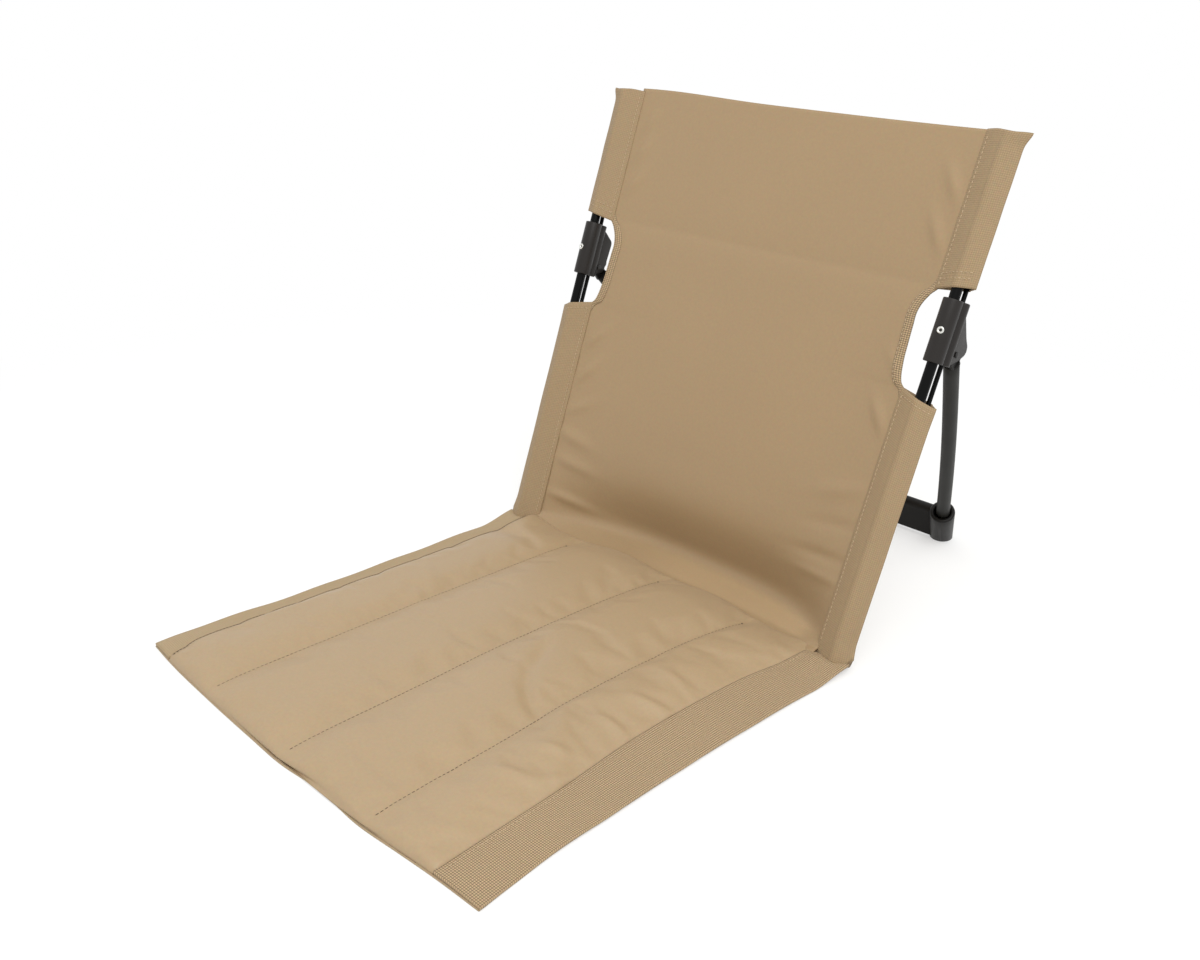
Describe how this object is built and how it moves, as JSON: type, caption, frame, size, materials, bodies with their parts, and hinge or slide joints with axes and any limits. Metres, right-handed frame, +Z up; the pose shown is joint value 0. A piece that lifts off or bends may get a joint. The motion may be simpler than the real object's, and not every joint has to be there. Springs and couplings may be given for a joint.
{
  "type": "folding floor chair",
  "caption": "Folding floor chair: a quilted seat flat on the floor, a cloth back stretched between side rails, and a rear leg frame that folds out to prop the back.",
  "frame": {"origin": "on the floor, at the middle of the chair's outline seen from above", "axes": "+X to the right as seen from the front, +Y to the rear, from the seat to the leg frame, +Z up"},
  "size_m": [0.4388, 0.7078, 0.425],
  "materials": {
    "cloth": "coated oxford weave, tan, soft sheen",
    "band": "ribbed webbing weave, tan, matt",
    "foam": "open foam sheet, grey",
    "rail": "gloss black",
    "leg": "dark grey powder coat",
    "block": "moulded, fine grain",
    "foot": "moulded, fine grain",
    "eyelet": "bright nickel",
    "pin": "blackened steel"
  },
  "bodies": {
    "backrest": {"back_panel": "cloth", "top_hem": "cloth", "notch_hem_right": "cloth", "notch_hem_left": "cloth", "lower_sleeve_right": "band", "lower_sleeve_left": "band", "upper_sleeve_right": "band", "upper_sleeve_left": "band", "main_rail_right": "rail", "main_rail_left": "rail", "rear_rod_right": "rail", "rear_rod_left": "rail", "rail_top_cap_right": "block", "rail_top_cap_left": "block", "rail_foot_cap_right": "block", "rail_foot_cap_left": "block", "hinge_block_right": "block", "hinge_block_left": "block", "block_eyelet_right": "eyelet", "block_eyelet_left": "eyelet", "pivot_pin_right": "pin", "pivot_pin_left": "pin"},
    "seat": {"seat_base_cloth": "cloth", "seat_top_cloth": "cloth", "foam_strip_1": "foam", "foam_strip_2": "foam", "foam_strip_3": "foam", "foam_strip_4": "foam", "seat_band_right": "band", "seat_band_left": "band"},
    "leg_frame": {"leg_tube_right": "leg", "leg_tube_left": "leg", "leg_knuckle_right": "foot", "leg_knuckle_left": "foot", "foot_socket_right": "foot", "foot_socket_left": "foot", "foot_bar": "foot"}
  },
  "joints": [
    {"name": "seat_fold", "type": "hinge", "parent": "backrest", "child": "seat", "pos_m": [0, 0.03906, 0.013], "axis": [-1, 0, 0], "range_deg": [0, 105]},
    {"name": "leg_fold", "type": "hinge", "parent": "backrest", "child": "leg_frame", "pos_m": [0, 0.14776, 0.25106], "axis": [-1, 0, 0], "range_deg": [0, 50]}
  ]
}
